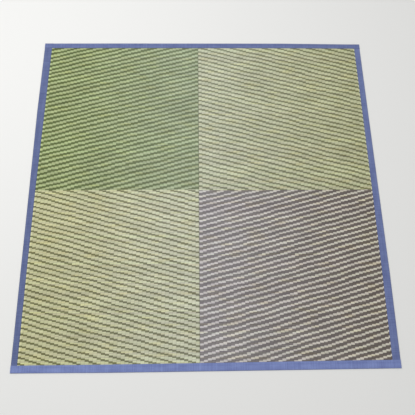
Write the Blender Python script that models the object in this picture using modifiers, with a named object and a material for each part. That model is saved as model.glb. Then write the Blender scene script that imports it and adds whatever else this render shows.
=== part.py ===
"""Rush floor mat, about 1.76 m square, lying flat.

Two loom widths of woven rush meet at a seam that runs from the near edge to the far one. Each
width changes its weave half way along, so the mat shows four blocks of diagonal ribs. Four
strips of cotton are folded round the edges as a binding. The side strips end where the far and
near strips begin, and those two run the mat's full width and close its corners.

Metres, +X to the right, +Y to the far edge, +Z up. The origin is on the floor under the middle
of the mat.
"""

import math

import bmesh
import bpy
import numpy as np
from mathutils import Matrix, Vector

MM = 0.001

# Driving dimensions of the whole mat
SIDE = 1760 * MM  # the true square that the mat is cut to
SEAM_X = -31.5 * MM  # where the two loom widths meet, half way along
SEAM_SLANT = 3.2 * MM  # the seam lies this much to the right at the far edge, to the left at the near one
CHANGE_Y = {"left": -1 * MM, "right": -6 * MM}  # where each loom width changes its weave
GAP = 0.3 * MM  # clear space between two pieces that touch

# Binding
CLOTH = 1.0 * MM  # thickness of the folded cotton
BAND = 34 * MM  # its reach in from the mat's edge on the true square
NOSE_STEPS = 6  # flats round the fold

# Woven rush
RIM = 1.1 * MM  # thickness where the binding pinches it
RIM_INSET = 2.0 * MM  # from the mat's edge to the rush inside the fold
RIB_HEIGHT = 0.8 * MM  # from a groove up to the crest of a rib
SINK = 4 * MM  # a rib sinks to its groove's level over this distance from its block's border

# Heights worked out from the layers: cotton, rush, cotton
RIM_BOTTOM = CLOTH + GAP
GROOVE_TOP = RIM_BOTTOM + RIM
HEIGHT = GROOVE_TOP + GAP + CLOTH

# Distances from the mat's middle, on the true square
HALF = SIDE / 2
BAND_EDGE = HALF - BAND
PINCH_LINE = BAND_EDGE - GAP
FULL_LINE = PINCH_LINE - SINK

# The mat lies a little out of square. For each side, at five stations from its near or left
# end: how far its edge stands out from the true square, and how wide its binding shows.
STATIONS = (0, 0.25, 0.5, 0.75, 1)
SIDES = {
    "left": {"bulge_mm": (-0.9, 0.2, 0.5, 1.5, -4.0), "band_mm": (28, 29, 31, 39, 40)},
    "right": {"bulge_mm": (-2.8, 1.5, 0.5, -0.3, -1.0), "band_mm": (37, 37, 33, 31, 31)},
    "near": {"bulge_mm": (-2.0, 1.0, 0.6, 0.0, -0.9), "band_mm": (33, 35, 36, 37, 37)},
    "far": {"bulge_mm": (-1.0, 0.4, 0.7, 1.0, -4.0), "band_mm": (31, 31, 31, 31, 28)},
}
STEADY = 6 * MM  # round the fold and the binding's inner edge the unevenness shifts all alike

# The ribs of each block. The pitch is measured lengthwise, lean is how far a rib climbs for
# each unit to the right, and crest_at is where a crest meets the mat's middle line. Crest and
# floor are the shares of a pitch that are flat, on a rib's top and in its groove.
BLOCKS = {
    "far_left": {"pitch": 25.8 * MM, "lean": 0.292, "crest_at": 7.1 * MM, "crest": 0.25, "floor": 0.25},
    "far_right": {"pitch": 26.0 * MM, "lean": -0.299, "crest_at": -4.4 * MM, "crest": 0.5, "floor": 0},
    "near_left": {"pitch": 26.0 * MM, "lean": -0.303, "crest_at": 9.1 * MM, "crest": 0.6, "floor": 0},
    "near_right": {"pitch": 25.9 * MM, "lean": 0.290, "crest_at": -8.0 * MM, "crest": 0, "floor": 0.5},
}

# Colours as red, green and blue, for each rush block and for the cotton
COLOURS = {
    "far_left": (0.28, 0.33, 0.19),
    "far_right": (0.41, 0.42, 0.28),
    "near_left": (0.43, 0.43, 0.29),
    "near_right": (0.32, 0.29, 0.28),
    "cotton": (0.14, 0.17, 0.32),
}
RUSH_ROUGHNESS = 0.55
COTTON_ROUGHNESS = 0.85

CUT_SNAP = 0.02 * MM  # a cut this near to a corner goes through the corner
SMOOTH_ANGLE = math.radians(35)


def clear_scene():
    """Removes whatever the file starts with."""
    for thing in list(bpy.data.objects):
        bpy.data.objects.remove(thing, do_unlink=True)


def make_material(name, colour, roughness):
    """A plain material in one colour."""
    material = bpy.data.materials.new(name)
    material.use_nodes = True
    shader = material.node_tree.nodes["Principled BSDF"]
    shader.inputs["Base Color"].default_value = (*colour, 1)
    shader.inputs["Roughness"].default_value = roughness
    shader.inputs["Metallic"].default_value = 0
    return material


def uneven(side, along):
    """How far a side's edge and its binding's inner edge shift inwards, at a place along it."""
    station = along / SIDE + 0.5
    bulge = np.interp(station, STATIONS, SIDES[side]["bulge_mm"]) * MM
    band = np.interp(station, STATIONS, SIDES[side]["band_mm"]) * MM
    return -bulge, band - BAND - bulge


def shift(low_side, high_side, place, along, middle, drift):
    """How far a point moves along one axis: as the two sides do at its ends, and by drift between."""
    low_edge, low_band = uneven(low_side, along)
    high_edge, high_band = uneven(high_side, along)
    marks = (
        (-HALF + STEADY, low_edge),
        (-BAND_EDGE - STEADY, low_band),
        (-BAND_EDGE + STEADY, low_band),
        (middle, drift),
        (BAND_EDGE - STEADY, -high_band),
        (BAND_EDGE + STEADY, -high_band),
        (HALF - STEADY, -high_edge),
    )
    return np.interp(place, [mark[0] for mark in marks], [mark[1] for mark in marks])


def lay_down(bm):
    """Moves the points of a piece from the true square to where they lie on the uneven mat."""
    for vert in bm.verts:
        x, y = vert.co.x, vert.co.y
        vert.co.x += shift("left", "right", x, y, SEAM_X, SEAM_SLANT * y / HALF)
        vert.co.y += shift("near", "far", y, x, 0, 0)


def add_piece(name, bm, materials, collection):
    """Turns a finished shape into a named object in the mat's collection."""
    mesh = bpy.data.meshes.new(name)
    bm.to_mesh(mesh)
    bm.free()
    for material in materials:
        mesh.materials.append(material)
    mesh.shade_smooth()
    mesh.set_sharp_from_angle(angle=SMOOTH_ANGLE)
    piece = bpy.data.objects.new(name, mesh)
    collection.objects.link(piece)
    return piece


def cut(bm, faces, place, square_to):
    """Cuts some faces along the upright plane through a place, square to a direction."""
    edges = {edge for face in faces for edge in face.edges}
    verts = {vert for face in faces for vert in face.verts}
    bmesh.ops.bisect_plane(
        bm,
        geom=[*verts, *edges, *faces],
        dist=CUT_SNAP,
        plane_co=place,
        plane_no=square_to,
    )


def upper_faces(bm, low_x, high_x, low_y, high_y):
    """The faces of a panel within a rectangle: its upper side and its upright edge at the seam."""
    found = []
    for face in bm.faces:
        centre = face.calc_center_median()
        within_x = low_x - CUT_SNAP < centre.x < high_x + CUT_SNAP
        if face.normal.z > -0.5 and within_x and low_y < centre.y < high_y:
            found.append(face)
    return found


def cut_borders(bm, outer, seam_edge, change_y):
    """Cuts a flat panel where its rim, its sinking zones and its two blocks begin."""
    across = Vector((1, 0, 0))
    along = Vector((0, 1, 0))
    for line in (PINCH_LINE, FULL_LINE):
        cut(bm, bm.faces[:], Vector((outer * line, 0, 0)), across)
        for end in (-1, 1):
            cut(bm, bm.faces[:], Vector((0, end * line, 0)), along)
    cut(bm, upper_faces(bm, -HALF, HALF, -HALF, HALF), Vector((seam_edge + outer * SINK, 0, 0)), across)
    for line in (-SINK, 0, SINK):
        cut(bm, upper_faces(bm, -HALF, HALF, -HALF, HALF), Vector((0, change_y + line, 0)), along)


def cut_stations(bm):
    """Cuts the rim at the stations where the mat's unevenness changes."""
    for axis, direction in enumerate((Vector((1, 0, 0)), Vector((0, 1, 0)))):
        for station in STATIONS[1:-1]:
            rim = []
            for face in bm.faces:
                if abs(face.calc_center_median()[1 - axis]) > FULL_LINE:
                    rim.append(face)
            cut(bm, rim, direction * (station - 0.5) * SIDE, direction)


def rib_marks(block):
    """Where a rib's slopes begin and end, as shares of a pitch from its crest's middle."""
    half_crest = block["crest"] / 2
    half_floor = block["floor"] / 2
    return sorted({half_crest, -half_crest, 0.5 - half_floor, 0.5 + half_floor})


def cut_ribs(bm, block, low_x, high_x, low_y, high_y):
    """Cuts one block of the upper side along every rib's crest and groove."""
    square_to = Vector((-block["lean"], 1, 0)).normalized()
    turns = []
    for x in (low_x, high_x):
        for y in (low_y, high_y):
            turns.append((y - block["lean"] * x - block["crest_at"]) / block["pitch"])
    for rib in range(math.floor(min(turns)) - 1, math.ceil(max(turns)) + 1):
        for mark in rib_marks(block):
            if min(turns) < rib + mark < max(turns):
                place = Vector((0, block["crest_at"] + (rib + mark) * block["pitch"], 0))
                cut(bm, upper_faces(bm, low_x, high_x, low_y, high_y), place, square_to)


def split_into_triangles(bm):
    """Fans the many-cornered level faces round their middles, then halves the four-cornered ones."""
    many = [face for face in bm.faces if len(face.verts) > 4 and abs(face.normal.z) > 0.5]
    bmesh.ops.poke(bm, faces=many, center_mode="MEAN_WEIGHTED")
    bmesh.ops.triangulate(bm, faces=bm.faces[:])


def rib_share(block, x, y):
    """How high the weave stands at a point of the true square: 0 in a groove, 1 on a crest."""
    turn = ((y - block["lean"] * x - block["crest_at"]) / block["pitch"]) % 1
    from_crest = min(turn, 1 - turn)
    half_crest = block["crest"] / 2
    slope = 0.5 - half_crest - block["floor"] / 2
    return 1 - min(max((from_crest - half_crest) / slope, 0), 1)


def inside_share(distance):
    """0 at a border, rising to 1 where the ribs are full."""
    return min(max(distance / SINK, 0), 1)


def raise_ribs(bm, blocks, seam_edge, change_y):
    """Sets the height of every point of a panel that has been cut flat."""
    for vert in bm.verts:
        x, y = vert.co.x, vert.co.y
        bound = inside_share(PINCH_LINE - max(abs(x), abs(y)))
        if vert.co.z < HEIGHT / 2:
            vert.co.z = RIM_BOTTOM * (1 - bound)
            continue
        free = min(bound, inside_share(abs(y - change_y)), inside_share(abs(x - seam_edge)))
        block = blocks[0] if y > change_y else blocks[1]
        vert.co.z = GROOVE_TOP + RIB_HEIGHT * free * rib_share(block, x, y)


def rush_panel(name, outer, materials, collection):
    """One loom width: outer is -1 for the left one and 1 for the right one."""
    hand = "left" if outer < 0 else "right"
    blocks = [BLOCKS[f"far_{hand}"], BLOCKS[f"near_{hand}"]]
    seam_edge = SEAM_X + outer * GAP / 2
    change_y = CHANGE_Y[hand]
    outer_edge = outer * (HALF - RIM_INSET)
    size = Vector((abs(outer_edge - seam_edge), SIDE - 2 * RIM_INSET, HEIGHT))
    middle = Vector(((outer_edge + seam_edge) / 2, 0, HEIGHT / 2))
    bm = bmesh.new()
    bmesh.ops.create_cube(bm, size=1, matrix=Matrix.Translation(middle) @ Matrix.Diagonal((*size, 1)))
    cut_borders(bm, outer, seam_edge, change_y)
    cut_stations(bm)
    low_x, high_x = sorted((seam_edge, outer * PINCH_LINE))
    cut_ribs(bm, blocks[0], low_x, high_x, change_y, PINCH_LINE)
    cut_ribs(bm, blocks[1], low_x, high_x, -PINCH_LINE, change_y)
    split_into_triangles(bm)
    raise_ribs(bm, blocks, seam_edge, change_y)
    for face in bm.faces:
        face.material_index = 0 if face.calc_center_median().y > change_y else 1
    lay_down(bm)
    return add_piece(name, bm, materials, collection)


def fold_profile():
    """The middle line of the folded cotton, as distances in from the mat's edge and heights."""
    radius = (HEIGHT - CLOTH) / 2
    points = [(BAND, CLOTH / 2)]
    for step in range(NOSE_STEPS + 1):
        angle = math.pi * step / NOSE_STEPS
        points.append((HEIGHT / 2 - radius * math.sin(angle), HEIGHT / 2 - radius * math.cos(angle)))
    points.append((BAND, HEIGHT - CLOTH / 2))
    return points


def side_places():
    """Places along a side strip, which ends where the far and near strips begin."""
    stations = [(station - 0.5) * SIDE for station in STATIONS[1:-1]]
    return [-PINCH_LINE, *stations, PINCH_LINE]


def end_places():
    """Places along the far or near strip, which closes both of its corners."""
    tip = HALF - CLOTH / 2
    stations = [(station - 0.5) * SIDE for station in STATIONS[1:-1]]
    return [-tip, -BAND_EDGE, *stations, BAND_EDGE, tip]


def binding_strip(name, side, material, collection):
    """One strip of cotton folded round a side of the mat."""
    lengthwise = side in ("left", "right")
    outward = -1 if side in ("left", "near") else 1
    places = side_places() if lengthwise else end_places()
    bm = bmesh.new()
    rows = []
    for place in places:
        row = []
        for inset, height in fold_profile():
            off = outward * (HALF - inset)
            row.append(bm.verts.new((off, place, height) if lengthwise else (place, off, height)))
        rows.append(row)
    for row, following in zip(rows, rows[1:]):
        for corner in range(len(row) - 1):
            bm.faces.new((row[corner], row[corner + 1], following[corner + 1], following[corner]))
    if not lengthwise:
        bm.faces.new(rows[0])
        bm.faces.new(rows[-1])
    bmesh.ops.recalc_face_normals(bm, faces=bm.faces[:])
    lay_down(bm)
    piece = add_piece(name, bm, [material], collection)
    thickness = piece.modifiers.new("cotton", "SOLIDIFY")
    thickness.thickness = CLOTH
    thickness.offset = 0
    thickness.use_even_offset = True
    return piece


def main():
    clear_scene()
    collection = bpy.data.collections.new("tatami_mat")
    bpy.context.scene.collection.children.link(collection)
    for hand, outer in (("left", -1), ("right", 1)):
        materials = []
        for half in ("far", "near"):
            block = f"{half}_{hand}"
            materials.append(make_material(f"{block}_rush", COLOURS[block], RUSH_ROUGHNESS))
        rush_panel(f"{hand}_panel", outer, materials, collection)
    for side in SIDES:
        name = f"{side}_binding"
        material = make_material(f"{side}_cotton", COLOURS["cotton"], COTTON_ROUGHNESS)
        binding_strip(name, side, material, collection)


main()
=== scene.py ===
"""Rush floor mat: two woven rush widths sewn at a seam, with cotton folded round the edges.

Metres, +X to the right, +Y to the far edge, +Z up. The mat lies on the floor, and the origin is
under its middle. Each piece has an operator of its own, and the sidebar panel lists them.
"""

import math

import bpy
import numpy as np
from mathutils import Matrix, Vector


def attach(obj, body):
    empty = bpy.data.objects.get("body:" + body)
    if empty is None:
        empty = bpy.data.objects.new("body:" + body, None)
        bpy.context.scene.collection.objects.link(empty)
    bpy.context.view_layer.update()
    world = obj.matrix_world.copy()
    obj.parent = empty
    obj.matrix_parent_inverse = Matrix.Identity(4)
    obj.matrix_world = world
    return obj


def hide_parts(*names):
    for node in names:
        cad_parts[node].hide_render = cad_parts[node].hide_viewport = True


bl_info = {
    "name": "Rush floor mat",
    "version": (1, 0, 0),
    "blender": (4, 5, 0),
    "location": "View3D > Sidebar > Rush mat",
    "description": "A woven rush mat with a cotton binding, and a plain stage to show it on",
    "category": "Add Mesh",
}

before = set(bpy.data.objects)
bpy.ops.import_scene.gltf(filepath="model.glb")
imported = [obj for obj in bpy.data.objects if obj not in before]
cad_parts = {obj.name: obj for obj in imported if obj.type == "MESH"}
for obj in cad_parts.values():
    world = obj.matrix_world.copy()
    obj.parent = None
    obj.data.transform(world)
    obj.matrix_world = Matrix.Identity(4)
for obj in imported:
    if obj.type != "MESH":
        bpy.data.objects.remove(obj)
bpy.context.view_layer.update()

MM = 0.001
BODY = "root"

# The mat's layers and outline, as its solids have them
SIDE = 1760 * MM  # the true square that the mat is cut to
HALF = SIDE / 2
SEAM_X = -31.5 * MM  # where the two loom widths meet, half way along
SEAM_SLANT = 3.2 * MM  # the seam lies this much to the right at the far edge, left at the near one
CHANGE_Y = {"left": -1 * MM, "right": -6 * MM}  # where each loom width changes its weave
GAP = 0.3 * MM  # clear space between two pieces that touch
BAND = 34 * MM  # the binding's reach in from the mat's edge
RIM_BOTTOM = 1.3 * MM  # heights of the rush inside the binding
GROOVE_TOP = 2.4 * MM
RIM_INSET = 3.5 * MM  # from the mat's edge to the rush inside the fold
SINK = 4 * MM  # a rib sinks to its groove's level over this distance from a border
BAND_EDGE = HALF - BAND
PINCH_LINE = BAND_EDGE - GAP
FULL_LINE = PINCH_LINE - SINK
RIM_TO_PINCH = HALF - RIM_INSET - PINCH_LINE
STEADY = 6 * MM  # round the fold and the binding's inner edge the unevenness shifts all alike

# The mat lies a little out of square. For each side, at five stations from its near or left
# end: how far its edge stands out from the true square, and how wide its binding shows. The last
# number is how much brighter than the cotton colour its strip is drawn.
STATIONS = (0, 0.25, 0.5, 0.75, 1)
SIDES = {
    "left": {
        "bulge_mm": (-0.9, 0.2, 0.5, 1.5, -4.0),
        "band_mm": (28, 29, 31, 39, 40),
        "strip_tone": 1.1,
    },
    "right": {
        "bulge_mm": (-2.8, 1.5, 0.5, -0.3, -1.0),
        "band_mm": (37, 37, 33, 31, 31),
        "strip_tone": 1.4,
    },
    "near": {
        "bulge_mm": (-2.0, 1.0, 0.6, 0.0, -0.9),
        "band_mm": (33, 35, 36, 37, 37),
        "strip_tone": 1.9,
    },
    "far": {
        "bulge_mm": (-1.0, 0.4, 0.7, 1.0, -4.0),
        "band_mm": (31, 31, 31, 31, 28),
        "strip_tone": 1.35,
    },
}

# The ribs of each block. The pitch is measured lengthwise, lean is how far a rib climbs for
# each unit to the right, and crest_at is where a crest meets the mat's middle line. Crest and
# floor are the shares of a pitch that are level, and light is the share that pale rush covers.
BLOCKS = {
    "far_left": {
        "pitch": 25.8 * MM, "lean": 0.292, "crest_at": 7.1 * MM,
        "crest": 0.25, "floor": 0.25, "light": 0.5,
    },
    "far_right": {
        "pitch": 26.0 * MM, "lean": -0.299, "crest_at": -4.4 * MM,
        "crest": 0.5, "floor": 0, "light": 0.62,
    },
    "near_left": {
        "pitch": 26.0 * MM, "lean": -0.303, "crest_at": 9.1 * MM,
        "crest": 0.6, "floor": 0, "light": 0.66,
    },
    "near_right": {
        "pitch": 25.9 * MM, "lean": 0.290, "crest_at": -8.0 * MM,
        "crest": 0, "floor": 0.5, "light": 0.38,
    },
}

# Each block's rush, from 0 to 255: pale rush on the crests, and in the grooves darker rush with
# painted shade of the grooves mixed in, by the seam and by the outer binding
BLOCK_COLOURS = {
    "far_left": {
        "crest_inner": (180, 190, 162), "crest_outer": (175, 186, 136),
        "groove_inner": (120, 129, 102), "groove_outer": (92, 104, 56),
    },
    "far_right": {
        "crest_inner": (208, 209, 187), "crest_outer": (198, 198, 162),
        "groove_inner": (135, 138, 116), "groove_outer": (118, 118, 84),
    },
    "near_left": {
        "crest_inner": (213, 213, 193), "crest_outer": (203, 200, 160),
        "groove_inner": (130, 130, 108), "groove_outer": (112, 111, 72),
    },
    "near_right": {
        "crest_inner": (214, 208, 211), "crest_outer": (212, 204, 193),
        "groove_inner": (138, 132, 136), "groove_outer": (104, 94, 90),
    },
}

WEAVE = "weave"  # mesh attribute: distance from the seam, place lengthwise, distance from the binding
CLOTH = "cloth"  # mesh attribute: place across the cut strip, place along it, distance from the fold
SMOOTH_ANGLE = math.radians(60)  # edges sharper than this stay sharp


def linear(level):
    """A colour level from 0 to 255, as light."""
    share = level / 255
    return share / 12.92 if share <= 0.04045 else ((share + 0.055) / 1.055) ** 2.4


def length(name, description, millimetres):
    """A size that a user can change."""
    return bpy.props.FloatProperty(
        name=name, description=description, default=millimetres * MM, min=0, precision=5,
        subtype="DISTANCE", unit="LENGTH",
    )


def colour(name, description, levels):
    """A colour that a user can change."""
    return bpy.props.FloatVectorProperty(
        name=name, description=description, default=[linear(level) for level in levels],
        min=0, max=1, size=3, subtype="COLOR",
    )


class RushSizes(bpy.types.PropertyGroup):
    """Sizes of the woven rush."""

    warp_pitch: length("Warp pitch", "Distance between two pairs of warp threads", 17.8)
    rush_pitch: length("Rush pitch", "Distance between two rushes", 1.3)
    rib_height: length("Rib height", "Height of a rib above its groove", 0.8)
    warp_dip: length("Warp dip", "Depth to which a pair of warp threads draws the rush in", 0.35)
    row_step: length("Row step", "Distance between two rows of points lengthwise", 3.4)


class RushColours(bpy.types.PropertyGroup):
    """Colours of the rush in each of the mat's four blocks; the groove colours hold painted shade."""


for block_name, block_colours in BLOCK_COLOURS.items():
    for part_name, levels in block_colours.items():
        label = f"{block_name} {part_name}".replace("_", " ")
        RushColours.__annotations__[f"{block_name}_{part_name}"] = colour(
            label.capitalize(), f"Rush colour: {label}", levels
        )


class CottonSettings(bpy.types.PropertyGroup):
    """Sizes and colours of the binding and its sewing."""

    thickness: length("Cloth thickness", "Thickness of one layer of the cotton", 0.45)
    hem: length("Hem", "Width of the cotton that is turned under at the inner edge", 8)
    thread_pitch: length("Thread pitch", "Distance between two threads of the cotton", 0.7)
    stitch_pitch: length("Stitch pitch", "Length of one stitch and the space after it", 4.2)
    stitch_inset: length("Stitch inset", "Distance of the sewing from the inner edge", 3)
    sewing: length("Sewing thread", "Diameter of the sewing thread", 0.4)
    cotton: colour("Cotton", "Colour of the binding", (104, 116, 157))
    cotton_shade: colour("Cotton shade", "Colour of the binding's darker threads", (78, 88, 130))
    sewing_colour: colour("Sewing colour", "Colour of the sewing thread", (90, 100, 140))


class StageSettings(bpy.types.PropertyGroup):
    """The floor and the light."""

    floor: colour("Floor", "Colour of the floor", (240, 240, 238))
    key_power: bpy.props.FloatProperty(
        name="Key light", description="Power of the large light above", default=70, min=0, unit="POWER"
    )
    fill: bpy.props.FloatProperty(
        name="Fill light", description="Strength of the light from all round", default=0.58, min=0
    )


SETTINGS = {
    "rush_mat_sizes": RushSizes,
    "rush_mat_colours": RushColours,
    "rush_mat_cotton": CottonSettings,
    "rush_mat_stage": StageSettings,
}


class Value:
    """What a shader node gives out, for use in expressions."""

    def __init__(self, finish, output):
        self.finish = finish
        self.output = output

    def math(self, operation, *operands):
        return self.finish.add("ShaderNodeMath", {"operation": operation}, dict(enumerate(operands)))

    def __add__(self, other):
        return self.math("ADD", self, other)

    __radd__ = __add__

    def __sub__(self, other):
        return self.math("SUBTRACT", self, other)

    def __rsub__(self, other):
        return self.math("SUBTRACT", other, self)

    def __mul__(self, other):
        return self.math("MULTIPLY", self, other)

    __rmul__ = __mul__

    def __truediv__(self, other):
        return self.math("DIVIDE", self, other)

    def __abs__(self):
        return self.math("ABSOLUTE", self)

    def floor(self):
        return self.math("FLOOR", self)

    def fraction(self):
        return self.math("FRACT", self)

    def sine(self):
        return self.math("SINE", self)

    def above(self, other):
        return self.math("GREATER_THAN", self, other)

    def rise(self, low, high):
        """0 below low, 1 above high and smooth between."""
        return self.finish.add(
            "ShaderNodeMapRange",
            {"interpolation_type": "SMOOTHSTEP"},
            {"Value": self, "From Min": low, "From Max": high},
        )

    def split(self):
        """The three parts of a vector."""
        return [
            self.finish.add("ShaderNodeSeparateXYZ", {}, {"Vector": self}, output)
            for output in ("X", "Y", "Z")
        ]


class Finish:
    """A material made of shader nodes."""

    def __init__(self, name):
        self.material = bpy.data.materials.new(name)
        self.material.use_nodes = True
        self.tree = self.material.node_tree
        self.shader = self.tree.nodes["Principled BSDF"]

    def add(self, kind, settings, sockets, output=0):
        """Adds a node: its settings first, then a value or a link for each socket named."""
        node = self.tree.nodes.new(kind)
        for setting, value in settings.items():
            setattr(node, setting, value)
        for socket, value in sockets.items():
            self.feed(node.inputs[socket], value)
        return Value(self, node.outputs[output])

    def feed(self, socket, value):
        if isinstance(value, Value):
            self.tree.links.new(value.output, socket)
        elif socket.type == "RGBA":
            socket.default_value = (*value, 1)
        else:
            socket.default_value = value

    def set(self, **sockets):
        """Sets or links sockets of the surface shader."""
        for socket, value in sockets.items():
            self.feed(self.shader.inputs[socket.replace("_", " ")], value)

    def attribute(self, name):
        return self.add("ShaderNodeAttribute", {"attribute_name": name}, {}, "Vector").split()

    def join(self, x, y, z=0):
        return self.add("ShaderNodeCombineXYZ", {}, {"X": x, "Y": y, "Z": z})

    def random(self, x, y, z=0):
        """A random number from 0 to 1 for each whole x, y and z."""
        place = self.join(x + 0.5, y + 0.5, z)
        return self.add("ShaderNodeTexWhiteNoise", {"noise_dimensions": "3D"}, {"Vector": place})

    def clouds(self, x, y, z=0, detail=2):
        """Soft patches from 0 to 1, about one unit wide."""
        place = self.join(x, y, z)
        return self.add("ShaderNodeTexNoise", {}, {"Vector": place, "Scale": 1, "Detail": detail})

    def mix(self, low, high, share):
        """A colour between two others."""
        return self.add("ShaderNodeMix", {"data_type": "RGBA"}, {0: share, 6: low, 7: high}, 2)

    def tint(self, paint, tint, share):
        """A colour mixed with itself multiplied by a tint."""
        settings = {"data_type": "RGBA", "blend_type": "MULTIPLY"}
        tinted = self.add("ShaderNodeMix", settings, {0: 1.0, 6: paint, 7: tint}, 2)
        return self.mix(paint, tinted, share)

    def tone(self, paint, strength):
        """A colour made brighter or darker."""
        return self.add("ShaderNodeVectorMath", {"operation": "SCALE"}, {0: paint, 3: strength})

    def relief(self, height, depth):
        """The surface's direction where a pattern from 0 to 1 stands out by a depth."""
        return self.add("ShaderNodeBump", {}, {"Height": height, "Distance": depth})


def smooth_rise(value, low, high):
    """0 below low, 1 above high and smooth between."""
    share = np.clip((value - low) / (high - low), 0, 1)
    return share * share * (3 - 2 * share)


def ripple(place, wavelength, seed):
    """A gentle unevenness from about -1 to 1 along a piece, the same on each run."""
    rng = np.random.default_rng(seed)
    total = 0
    for harmonic in (1, 1.7, 2.9, 4.3):
        turn = harmonic * place / wavelength + rng.random()
        total = total + np.sin(2 * math.pi * turn) / harmonic
    return total / 2


def uneven(side, along):
    """How far a side's edge and its binding's inner edge shift inwards, at places along it."""
    station = along / SIDE + 0.5
    bulge = np.interp(station, STATIONS, SIDES[side]["bulge_mm"]) * MM
    band = np.interp(station, STATIONS, SIDES[side]["band_mm"]) * MM
    return -bulge, band - BAND - bulge


def shift(low_side, high_side, place, along, middle, drift):
    """How far points move along one axis: as the two sides do at its ends, and by drift between."""
    low_edge, low_band = uneven(low_side, along)
    high_edge, high_band = uneven(high_side, along)
    marks = (
        (-HALF + STEADY, low_edge),
        (-BAND_EDGE - STEADY, low_band),
        (-BAND_EDGE + STEADY, low_band),
        (middle, drift),
        (BAND_EDGE - STEADY, -high_band),
        (BAND_EDGE + STEADY, -high_band),
        (HALF - STEADY, -high_edge),
    )
    moved = marks[0][1]
    for (start, before), (end, after) in zip(marks, marks[1:]):
        share = np.clip((place - start) / (end - start), 0, 1)
        moved = moved + (after - before) * share
    return moved


def lay_down(points):
    """Moves points from the true square to where they lie on the uneven mat."""
    x = points[:, 0].copy()
    y = points[:, 1].copy()
    points[:, 0] += shift("left", "right", x, y, SEAM_X, SEAM_SLANT * y / HALF)
    points[:, 1] += shift("near", "far", y, x, 0, 0)
    return points


def with_lines(marks, lines, clear):
    """Sorted marks, with some lines put in and the marks nearer than clear to them left out."""
    kept = [mark for mark in marks if all(abs(mark - line) > clear for line in lines)]
    return np.array(sorted([*kept, *lines]))


def new_grid(name, columns, rows, height):
    """Adds a level grid one unit square at a height, as a new piece."""
    bpy.ops.object.select_all(action="DESELECT")
    bpy.ops.mesh.primitive_grid_add(
        x_subdivisions=columns, y_subdivisions=rows, size=1, location=(0, 0, height)
    )
    bpy.ops.object.transform_apply(location=True, rotation=True, scale=True)
    piece = bpy.context.object
    piece.name = name
    piece.data.name = name
    return piece


def grid_index(grid, axis, marks):
    """Which of the marks each point of a unit grid stands for, along an axis."""
    return np.rint((grid[:, axis] + 0.5) * (len(marks) - 1)).astype(int)


def points_of(piece):
    """The places of a piece's points, one row each."""
    flat = np.empty(len(piece.data.vertices) * 3, np.float32)
    piece.data.vertices.foreach_get("co", flat)
    return flat.reshape(-1, 3).astype(float)


def move_points(piece, points):
    piece.data.vertices.foreach_set("co", points.astype(np.float32).ravel())
    piece.data.update()


def keep_attribute(piece, name, values):
    """Keeps three numbers for each point of a piece, for its material to read."""
    attribute = piece.data.attributes.new(name, "FLOAT_VECTOR", "POINT")
    attribute.data.foreach_set("vector", values.astype(np.float32).ravel())


def select_edges(piece, chosen):
    """Selects the chosen edges of a piece, and nothing else, in object mode."""
    mesh = piece.data
    ends = np.empty(len(mesh.edges) * 2, np.int32)
    mesh.edges.foreach_get("vertices", ends)
    corners = np.zeros(len(mesh.vertices), bool)
    corners[ends.reshape(-1, 2)[chosen]] = True
    mesh.polygons.foreach_set("select", np.zeros(len(mesh.polygons), bool))
    mesh.edges.foreach_set("select", chosen)
    mesh.vertices.foreach_set("select", corners)


def close_rim(piece):
    """Joins the upper and the lower grid of a piece with a wall along each of the four sides."""
    for axis in (0, 1):
        for end in (-0.5, 0.5):
            points = points_of(piece)
            ends = np.empty(len(piece.data.edges) * 2, np.int32)
            piece.data.edges.foreach_get("vertices", ends)
            ends = ends.reshape(-1, 2)
            on_side = np.isclose(points[:, axis], end, atol=1e-5)[ends].all(axis=1)
            level = np.isclose(points[ends[:, 0], 2], points[ends[:, 1], 2])
            select_edges(piece, on_side & level)
            bpy.ops.object.mode_set(mode="EDIT")
            bpy.ops.mesh.select_mode(type="EDGE")
            bpy.ops.mesh.bridge_edge_loops()
            bpy.ops.object.mode_set(mode="OBJECT")


def rib_share(block, turn):
    """How high the weave stands, from 0 in a groove to 1 on a crest, by turns of the pitch."""
    from_crest = np.abs((turn + 0.5) % 1 - 0.5)
    half_crest = block["crest"] / 2
    slope = 0.5 - half_crest - block["floor"] / 2
    return 1 - smooth_rise(from_crest, half_crest, half_crest + slope)


SHOULDERS = (0, 0.22, 0.78)  # where a rush turns down to a warp pair, as shares of the warp pitch
SEAM_ROLL = 1.2 * MM  # the rush's edge rolls down over this distance at the seam
SEAM_ROLL_DEPTH = 0.5 * MM
UNDER_ROWS = 100
CLEAR = 0.8 * MM  # lines of points stay this far apart
LUMP = 0.06 * MM  # single rushes stand up to this much higher or lower
LUMP_SEED = 17

# How far the colours of the ribs stray from their lines, as shares of the pitch: each column's
# and each rush's alone, and in soft drifts over many columns
COLUMN_STRAY = 0.07
RUSH_STRAY = 0.12
RIB_DRIFT = 0.6
STRIPE_SOFTNESS = 0.05  # a stripe's border blurs over this share of the pitch to each side

PATCH_TONE = 1.15
GOLDEN = (1.06, 1.0, 0.78)  # the tint of golden rushes and of greenish ones
GOLDEN_SHARE = 0.7
GREENISH = (0.93, 1.03, 0.9)
GREENISH_SHARE = 0.8

# How much brighter or darker the rush is, as shares of its tone
ROW_TONE = 0.34  # one rush against another, over its whole length and between two warp pairs
FLOAT_TONE = 0.3
WARP_SHADE = 0.16  # over a warp pair
GAP_SHADE = 0.16  # between two rushes
SEAM_SHADE = 0.28  # at the seam
BINDING_SHADE = 0.2  # by the binding
END_TONE = 0.45  # pale ends of the rushes by the side bindings

SEAM_SHADOW = 1.6 * MM  # how far these reach
BINDING_SHADOW = (-1 * MM, 2.5 * MM)
RUSH_ENDS = (1 * MM, 7 * MM)
RUSH_RELIEF = 0.5 * MM


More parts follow.
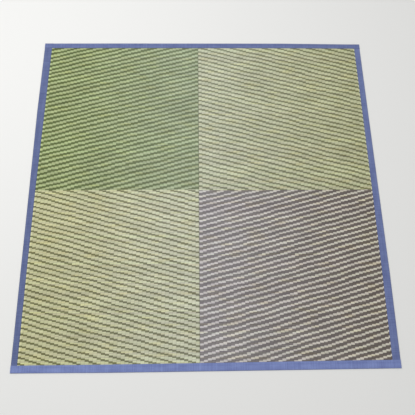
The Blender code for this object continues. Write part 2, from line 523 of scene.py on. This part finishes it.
def rush_marks(width, sizes):
    """Distances from the seam of the lines of points on a loom width's upper side and underside."""
    pairs = math.ceil(width / sizes.warp_pitch)
    pinch = width - RIM_TO_PINCH
    lines = [0, pinch - SINK, pinch, width]
    upper = [(pair + share) * sizes.warp_pitch for pair in range(pairs) for share in SHOULDERS]
    under = [(pair + share) * sizes.warp_pitch for pair in range(pairs) for share in (0, 0.5)]
    upper = with_lines([mark for mark in upper if mark < width], [SEAM_ROLL, *lines], CLEAR)
    under = with_lines([mark for mark in under if mark < width], lines, CLEAR)
    return upper, under


def weave_width(hand, outer, sizes):
    """Models one loom width of woven rush: outer is -1 for the left one and 1 for the right one."""
    seam_edge = SEAM_X + outer * GAP / 2
    width = abs(outer * (HALF - RIM_INSET) - seam_edge)
    change_y = CHANGE_Y[hand]
    upper, under = rush_marks(width, sizes)
    reach = HALF - RIM_INSET
    lines = [-reach, -PINCH_LINE, -FULL_LINE, change_y, FULL_LINE, PINCH_LINE, reach]
    rows = with_lines(np.arange(-reach, reach, sizes.row_step), lines, sizes.row_step / 3)
    under_rows = with_lines(np.linspace(-reach, reach, UNDER_ROWS), lines, SINK / 2)
    if outer > 0:
        columns = [upper, under]
    else:
        columns = [upper[::-1], under[::-1]]

    piece = new_grid(f"{hand}_weave", len(upper) - 1, len(rows) - 1, 1)
    bpy.ops.object.mode_set(mode="EDIT")
    bpy.ops.mesh.primitive_grid_add(
        x_subdivisions=len(under) - 1, y_subdivisions=len(under_rows) - 1, size=1, location=(0, 0, 0)
    )
    bpy.ops.mesh.flip_normals()
    bpy.ops.object.mode_set(mode="OBJECT")
    close_rim(piece)

    grid = points_of(piece)
    is_top = grid[:, 2] > 0.5
    from_seam = np.empty(len(grid))
    y = np.empty(len(grid))
    for chosen, marks, places in ((is_top, columns[0], rows), (~is_top, columns[1], under_rows)):
        from_seam[chosen] = marks[grid_index(grid[chosen], 0, marks)]
        y[chosen] = places[grid_index(grid[chosen], 1, places)]
    x = seam_edge + outer * from_seam
    from_binding = PINCH_LINE - np.maximum(np.abs(x), np.abs(y))
    bound = np.clip(from_binding / SINK, 0, 1)

    pairs = from_seam / sizes.warp_pitch
    at_warp = np.abs(pairs - np.rint(pairs)) < 0.02
    middle = np.where(at_warp, pairs, np.floor(pairs) + 0.5) * sizes.warp_pitch
    share = np.zeros(len(grid))
    for half, chosen in (("far", y > change_y), ("near", y <= change_y)):
        block = BLOCKS[f"{half}_{hand}"]
        ribs = y - block["lean"] * (seam_edge + outer * middle) - block["crest_at"]
        share[chosen] = rib_share(block, ribs / block["pitch"])[chosen]
    free = np.minimum(bound, np.clip(np.abs(y - change_y) / SINK, 0, 1))
    free = np.minimum(free, np.clip(from_seam / SINK, 0, 1))
    rng = np.random.default_rng(LUMP_SEED)
    lumps = rng.uniform(-1, 1, len(grid)) * LUMP * free
    dip = sizes.warp_dip * at_warp * bound
    roll = SEAM_ROLL_DEPTH * (1 - smooth_rise(from_seam, 0, SEAM_ROLL))
    top = GROOVE_TOP + sizes.rib_height * free * share + lumps - dip - roll
    bottom = RIM_BOTTOM * (1 - bound) + dip
    z = np.where(is_top, top, bottom)
    keep_attribute(piece, WEAVE, np.stack([from_seam, y, from_binding], axis=1))
    move_points(piece, lay_down(np.stack([x, y, z], axis=1)))
    bpy.ops.object.shade_smooth_by_angle(angle=SMOOTH_ANGLE)
    return piece, width


def rush_finish(hand, outer, sizes, colours, width):
    """Woven rush: rushes laid across, held by pairs of warp threads, pale on the ribs' crests."""
    finish = Finish(f"{hand}_rush")
    from_seam, along, from_binding = finish.attribute(WEAVE)
    seed = 3 + outer
    pair = from_seam / sizes.warp_pitch
    column = pair.floor()
    in_column = pair.fraction()
    row = (along / sizes.rush_pitch).floor()
    in_row = (along / sizes.rush_pitch).fraction()
    strand = finish.random(row, 0, seed)
    float_tone = finish.random(column, row, seed)
    seam_edge = SEAM_X + outer * GAP / 2
    middle = seam_edge + outer * sizes.warp_pitch * (column + 0.5)

    far = along.above(CHANGE_Y[hand] + (float_tone - 0.5) * sizes.rush_pitch)
    far_block = BLOCKS[f"far_{hand}"]
    near_block = BLOCKS[f"near_{hand}"]

    def of_block(key):
        return near_block[key] + far * (far_block[key] - near_block[key])

    drift = (finish.clouds(from_seam * 7, along * 9, seed + 5) - 0.5) * RIB_DRIFT
    wander = (finish.random(column, 7, seed) - 0.5) * COLUMN_STRAY
    wander = wander + (float_tone - 0.5) * RUSH_STRAY + drift
    turn = (along - of_block("lean") * middle - of_block("crest_at")) / of_block("pitch") + wander
    from_crest = abs((turn + 0.5).fraction() - 0.5)
    half_light = of_block("light") * 0.5
    light = 1 - (from_crest - half_light).rise(-STRIPE_SOFTNESS, STRIPE_SOFTNESS)

    outward = (from_seam / width).rise(-0.15, 1.0)

    def block_paint(part):
        halves = []
        for half in ("near", "far"):
            inner = tuple(getattr(colours, f"{half}_{hand}_{part}_inner"))
            outer_colour = tuple(getattr(colours, f"{half}_{hand}_{part}_outer"))
            halves.append(finish.mix(inner, outer_colour, outward))
        return finish.mix(*halves, far)

    # the groove colours are darker rush with painted shade of the grooves mixed in
    paint = finish.mix(block_paint("groove"), block_paint("crest"), light)
    patch = finish.clouds(from_seam * 5, along * 16, seed, 3)
    yellow = finish.clouds(from_seam * 9 + 20, along * 60, seed, 2)
    paint = finish.mix(paint, finish.tone(paint, PATCH_TONE), patch.rise(0.35, 0.7))
    paint = finish.tint(paint, GOLDEN, yellow.rise(0.45, 0.75) * GOLDEN_SHARE)
    paint = finish.tint(paint, GREENISH, strand.rise(0.55, 0.9) * GREENISH_SHARE)

    near_warp = 1 - (0.5 - abs(in_column - 0.5)).rise(0.02, 0.11)
    row_gap = 1 - (in_row * math.pi).sine()
    strength = 1 + (strand - 0.5) * ROW_TONE + (float_tone - 0.5) * FLOAT_TONE
    strength = strength * (1 - near_warp * WARP_SHADE) * (1 - row_gap * GAP_SHADE)
    strength = strength * (1 - SEAM_SHADE + SEAM_SHADE * from_seam.rise(0, SEAM_SHADOW))
    strength = strength * (1 - BINDING_SHADE + BINDING_SHADE * from_binding.rise(*BINDING_SHADOW))
    to_side = width - RIM_TO_PINCH - from_seam
    rush_ends = (1 - to_side.rise(*RUSH_ENDS)) * light
    paint = finish.tone(paint, strength * (1 + END_TONE * rush_ends))

    height = (in_row * math.pi).sine() * 0.45 + float_tone * 0.25 + light * 0.15
    height = height - near_warp * 0.3
    finish.set(
        Base_Color=paint,
        Roughness=0.5 + strand * 0.16 + (1 - light) * 0.08,
        Normal=finish.relief(height, RUSH_RELIEF),
    )
    finish.shader.inputs["Specular IOR Level"].default_value = 0.4
    return finish.material


class RUSHMAT_OT_weave(bpy.types.Operator):
    """Models the two loom widths of woven rush"""

    bl_idname = "rush_mat.weave"
    bl_label = "Woven rush"

    def execute(self, context):
        sizes = context.scene.rush_mat_sizes
        colours = context.scene.rush_mat_colours
        for hand, outer in (("left", -1), ("right", 1)):
            piece, width = weave_width(hand, outer, sizes)
            piece.data.materials.append(rush_finish(hand, outer, sizes, colours, width))
            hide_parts(f"{hand}_panel")
            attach(piece, BODY)
        return {"FINISHED"}


HEM_TURN = 0.26 * MM  # radius at which the cotton's middle line turns under
HEM_EASE = 4 * MM  # the upper layer comes down over this distance beside the hem
STRIP_STEP = 7 * MM  # distance between two rows of points along a strip
LIFT = 0.75 * MM  # the far and near strips rise this much over the side strips' ends
PRESS = 0.25 * MM  # the side strips' ends are pressed down this much under them
UNDERLAY = 0.5 * MM  # and their underside rises this much
NARROW = 1.5 * MM  # and their fold draws in this much
OVERHANG = 0.6 * MM  # the far and near strips reach this much past the side strips
CLOSING = 1.8 * MM  # their ends close over this distance
TUCKED_IN = 8 * MM  # the side strips end this far from the mat's edge
INNER_EASE = 12 * MM  # the inner edge's unevenness fades out over this distance
INNER_WAVE = (0.25 * MM, 130 * MM)  # height and length of the inner edge's waves in the plane
PUCKERS = ((0.07 * MM, 14 * MM), (0.05 * MM, 60 * MM))  # and of the cloth's small puckers
SAG_WAVE = (0.06 * MM, 37 * MM)
FOLD_SHADE = 0.38  # the cotton is darker by this share at the fold and at its inner edge
FOLD_SHADOW = (0.6 * MM, 3 * MM)
INNER_SHADE = 0.12
INNER_SHADOW = 1.2 * MM
STITCH_GAP = 0.35  # the share of the stitch pitch that no thread shows on
COTTON_RELIEF = 0.12 * MM


def straight(start, end, steps):
    """Points from start up to, and not with, end."""
    shares = np.arange(steps) / steps
    return [(start[0] + (end[0] - start[0]) * s, start[1] + (end[1] - start[1]) * s) for s in shares]


def arc(centre, radius, start, end, steps):
    """Points round an arc from a start angle to an end angle, in degrees."""
    angles = np.radians(np.linspace(start, end, steps + 1))
    return [(centre[0] + radius * math.cos(a), centre[1] + radius * math.sin(a)) for a in angles]


def fold_profile(cotton):
    """The folded cotton's middle line, as distances in from the mat's edge and heights."""
    half = cotton.thickness / 2
    low = GROOVE_TOP + GAP + half
    high = low + 2 * HEM_TURN
    nose = (low - half) / 2
    hem_end = BAND - cotton.hem
    turn = BAND - HEM_TURN - half
    points = straight((hem_end, low), (turn, low), 3)
    points += arc((turn, low + HEM_TURN), HEM_TURN, -90, 90, 6)
    points += straight((turn, high), (hem_end, high), 4)[1:]
    for step in range(5):
        share = step / 5
        points.append((hem_end - HEM_EASE * share, high + (low - high) * smooth_rise(share, 0, 1)))
    points += straight((hem_end - HEM_EASE, low), (half + nose, low), 5)
    points += arc((half + nose, half + nose), nose, 90, 270, 8)
    points += straight((half + nose, half), (BAND - half, half), 5)[1:]
    points.append((BAND - half, half))
    return np.array(points)


def strip_rows(lengthwise):
    """Places along a strip of its rows of points."""
    if lengthwise:
        end = HALF - TUCKED_IN
        lines = [-end, -BAND_EDGE, BAND_EDGE, end]
    else:
        end = HALF + OVERHANG
        closing = [end - CLOSING * share for share in (0, 0.12, 0.35, 0.65, 1)]
        lines = [-line for line in closing] + closing
    corner = np.arange(BAND_EDGE - 14 * MM, BAND_EDGE + 12 * MM, 1.5 * MM)
    marks = with_lines(np.arange(-end, end, STRIP_STEP), [*corner, *-corner], STRIP_STEP / 2)
    marks = [mark for mark in marks if abs(mark) < end]
    return with_lines(marks, lines, 0.4 * MM)


def fit_corners(inset, height, along, lengthwise, cotton):
    """Fits a strip's points to the strip that crosses it at each corner."""
    low = GROOVE_TOP + GAP + cotton.thickness / 2
    floor = cotton.thickness / 2
    upper = np.clip((height - floor) / (low - floor), 0, 1)
    off = np.abs(along)
    if lengthwise:
        tuck = smooth_rise(off, BAND_EDGE - 7 * MM, BAND_EDGE - 1 * MM)
        inside = smooth_rise(off, BAND_EDGE, BAND_EDGE + 6 * MM)
        fold = 1 - smooth_rise(inset, 3 * MM, 8 * MM)
        inset = inset + NARROW * inside * fold
        height = height - PRESS * tuck * upper + UNDERLAY * tuck * (1 - upper)
        return inset, height
    over = smooth_rise(off, BAND_EDGE - 9 * MM, BAND_EDGE - 2 * MM)
    height = height + LIFT * over * upper
    into_end = np.clip((off - (HALF + OVERHANG - CLOSING)) / CLOSING, 0, 1)
    open_share = np.sqrt(1 - 0.98 * into_end**2)
    middle = (low + LIFT + floor) / 2
    return inset, middle + (height - middle) * open_share


def fold_strip(name, side, cotton):
    """Models one strip of cotton: cut flat as a grid, then folded round a side of the mat."""
    lengthwise = side in ("left", "right")
    outward = -1 if side in ("left", "near") else 1
    profile = fold_profile(cotton)
    runs = np.hypot(*np.diff(profile, axis=0).T)
    across = np.concatenate([[0], np.cumsum(runs)])
    rows = strip_rows(lengthwise)
    piece = new_grid(name, len(profile) - 1, len(rows) - 1, 0)
    grid = points_of(piece)
    column = grid_index(grid, 0, profile)
    inset = profile[column, 0]
    height = profile[column, 1]
    along = rows[grid_index(grid, 1, rows)]

    seed = list(SIDES).index(side)
    near_edge = smooth_rise(inset, BAND - INNER_EASE, BAND)
    inset = inset + near_edge * (INNER_WAVE[0] * ripple(along, INNER_WAVE[1], seed))
    top = smooth_rise(height, 1.5 * MM, 2.5 * MM)
    pucker = PUCKERS[0][0] * ripple(along, PUCKERS[0][1], seed + 10)
    pucker = pucker + PUCKERS[1][0] * ripple(along, PUCKERS[1][1], seed + 20)
    sag = SAG_WAVE[0] * ripple(along + 2 * inset, SAG_WAVE[1], seed + 30) * (1 - near_edge)
    height = height + top * (pucker + sag)
    fold_at = inset.copy()
    inset, height = fit_corners(inset, height, along, lengthwise, cotton)

    off = outward * (HALF - inset)
    x, y = (off, along) if lengthwise else (along, off)
    keep_attribute(piece, CLOTH, np.stack([across[column], along, fold_at], axis=1))
    move_points(piece, lay_down(np.stack([x, y, height], axis=1)))
    layer = piece.modifiers.new("layer", "SOLIDIFY")
    layer.thickness = cotton.thickness
    layer.offset = 0
    layer.use_even_offset = True
    layer.thickness_clamp = 0
    bpy.ops.object.modifier_apply(modifier=layer.name)
    bpy.ops.object.mode_set(mode="EDIT")
    bpy.ops.mesh.select_all(action="SELECT")
    bpy.ops.mesh.normals_make_consistent(inside=False)
    bpy.ops.object.mode_set(mode="OBJECT")
    bpy.ops.object.shade_smooth_by_angle(angle=SMOOTH_ANGLE)
    return piece, (across[-1], rows[-1] - rows[0])


def cotton_finish(side, cotton):
    """Plain cotton weave, a little faded, darker where it turns round the mat's edge."""
    finish = Finish(f"{side}_cotton")
    across, along, from_fold = finish.attribute(CLOTH)
    seed = list(SIDES).index(side)
    threads = (along / cotton.thread_pitch, across / cotton.thread_pitch)
    tones = [finish.random(thread.floor(), index, seed) for index, thread in enumerate(threads)]
    crossing = (threads[0] * math.pi).sine() * (threads[1] * math.pi).sine()
    faded = finish.clouds(along * 14, across * 40, seed, 3)
    share = 0.5 + (tones[0] - 0.5) * 0.5 + (tones[1] - 0.5) * 0.35 + crossing * 0.12
    share = share + (faded - 0.5) * 0.9
    paint = finish.mix(tuple(cotton.cotton_shade), tuple(cotton.cotton), share.rise(0, 1))
    turned = 1 - FOLD_SHADE + FOLD_SHADE * from_fold.rise(*FOLD_SHADOW)
    edge = 1 - INNER_SHADE * from_fold.rise(BAND - INNER_SHADOW, BAND)
    # each side's strip is drawn brighter than the cotton colour by its own factor
    paint = finish.tone(paint, turned * edge * SIDES[side]["strip_tone"])
    from_line = abs(from_fold - (BAND - cotton.stitch_inset))
    on_line = 1 - from_line.rise(0.3 * cotton.sewing, 0.8 * cotton.sewing)
    stitched = on_line * (along / cotton.stitch_pitch).fraction().above(STITCH_GAP)
    paint = finish.mix(paint, tuple(cotton.sewing_colour), stitched)
    height = crossing * 0.5 + tones[0] * 0.4 + tones[1] * 0.3 + stitched
    finish.set(
        Base_Color=paint,
        Roughness=0.78 + tones[0] * 0.12,
        Normal=finish.relief(height, COTTON_RELIEF),
    )
    finish.shader.inputs["Specular IOR Level"].default_value = 0.25
    finish.shader.inputs["Sheen Weight"].default_value = 0.15
    return finish.material


class RUSHMAT_OT_binding(bpy.types.Operator):
    """Models the four cotton strips folded round the mat's edges"""

    bl_idname = "rush_mat.binding"
    bl_label = "Cotton binding"

    def execute(self, context):
        cotton = context.scene.rush_mat_cotton
        for side in SIDES:
            piece, flat = fold_strip(f"{side}_strip", side, cotton)
            piece.data.materials.append(cotton_finish(side, cotton))
            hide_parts(f"{side}_binding")
            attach(piece, BODY)
        return {"FINISHED"}


CAMERA_PLACE = Vector((-0.0622, -1.0395, 2.5508))
CAMERA_AIM = Vector((0.0102, -0.0973, 0))
CAMERA_ROLL = math.radians(3.77)
CAMERA_LENS = 47.35  # millimetres, as is the sensor's width
CAMERA_SENSOR = 36
FLOOR_SIZE = 14
KEY_PLACE = Vector((-1.6, 1.2, 3.4))
KEY_SIZE = 2.4


def add_camera():
    """A camera that stands over the near edge and looks down at the mat."""
    forward = (CAMERA_AIM - CAMERA_PLACE).normalized()
    level = forward.cross(Vector((0, 0, 1))).normalized()
    upright = level.cross(forward)
    right = level * math.cos(CAMERA_ROLL) + upright * math.sin(CAMERA_ROLL)
    up = upright * math.cos(CAMERA_ROLL) - level * math.sin(CAMERA_ROLL)
    bpy.ops.object.camera_add()
    camera = bpy.context.object
    turned = Matrix((right, up, -forward)).transposed().to_4x4()
    camera.matrix_world = Matrix.Translation(CAMERA_PLACE) @ turned
    camera.data.sensor_width = CAMERA_SENSOR
    camera.data.lens = CAMERA_LENS
    bpy.context.scene.camera = camera


def add_light(name, place, size, power):
    """A square area light that points at the mat's middle."""
    bpy.ops.object.light_add(type="AREA", location=place)
    light = bpy.context.object
    light.name = name
    light.data.size = size
    light.data.energy = power
    light.rotation_euler = (-place).to_track_quat("-Z", "Y").to_euler()


class RUSHMAT_OT_stage(bpy.types.Operator):
    """Adds a plain floor, soft light and the camera"""

    bl_idname = "rush_mat.stage"
    bl_label = "Stage"

    def execute(self, context):
        stage = context.scene.rush_mat_stage
        bpy.ops.object.select_all(action="DESELECT")
        bpy.ops.mesh.primitive_plane_add(size=FLOOR_SIZE)
        floor = bpy.context.object
        floor.name = "floor"
        finish = Finish("floor")
        finish.set(Base_Color=tuple(stage.floor), Roughness=0.9)
        floor.data.materials.append(finish.material)
        add_light("key", KEY_PLACE, KEY_SIZE, stage.key_power)
        world = bpy.data.worlds.new("studio")
        world.use_nodes = True
        sky = world.node_tree.nodes["Background"]
        sky.inputs["Color"].default_value = (1, 1, 1, 1)
        sky.inputs["Strength"].default_value = stage.fill
        context.scene.world = world
        add_camera()
        context.scene.view_settings.view_transform = "Standard"
        return {"FINISHED"}


class RUSHMAT_PT_sidebar(bpy.types.Panel):
    """Lists the mat's pieces and settings"""

    bl_idname = "RUSHMAT_PT_sidebar"
    bl_label = "Rush mat"
    bl_space_type = "VIEW_3D"
    bl_region_type = "UI"
    bl_category = "Rush mat"

    def draw(self, context):
        for operator in OPERATORS:
            self.layout.operator(operator.bl_idname)
        for name, group in SETTINGS.items():
            box = self.layout.box()
            for setting in group.__annotations__:
                box.prop(getattr(context.scene, name), setting)


OPERATORS = (RUSHMAT_OT_weave, RUSHMAT_OT_binding, RUSHMAT_OT_stage)
CLASSES = (*SETTINGS.values(), *OPERATORS, RUSHMAT_PT_sidebar)


def register():
    for cls in CLASSES:
        bpy.utils.register_class(cls)
    for name, group in SETTINGS.items():
        setattr(bpy.types.Scene, name, bpy.props.PointerProperty(type=group))


def unregister():
    for name in SETTINGS:
        delattr(bpy.types.Scene, name)
    for cls in reversed(CLASSES):
        bpy.utils.unregister_class(cls)


def main():
    register()
    bpy.ops.rush_mat.weave()
    bpy.ops.rush_mat.binding()
    bpy.ops.rush_mat.stage()


if __name__ == "__main__":
    main()
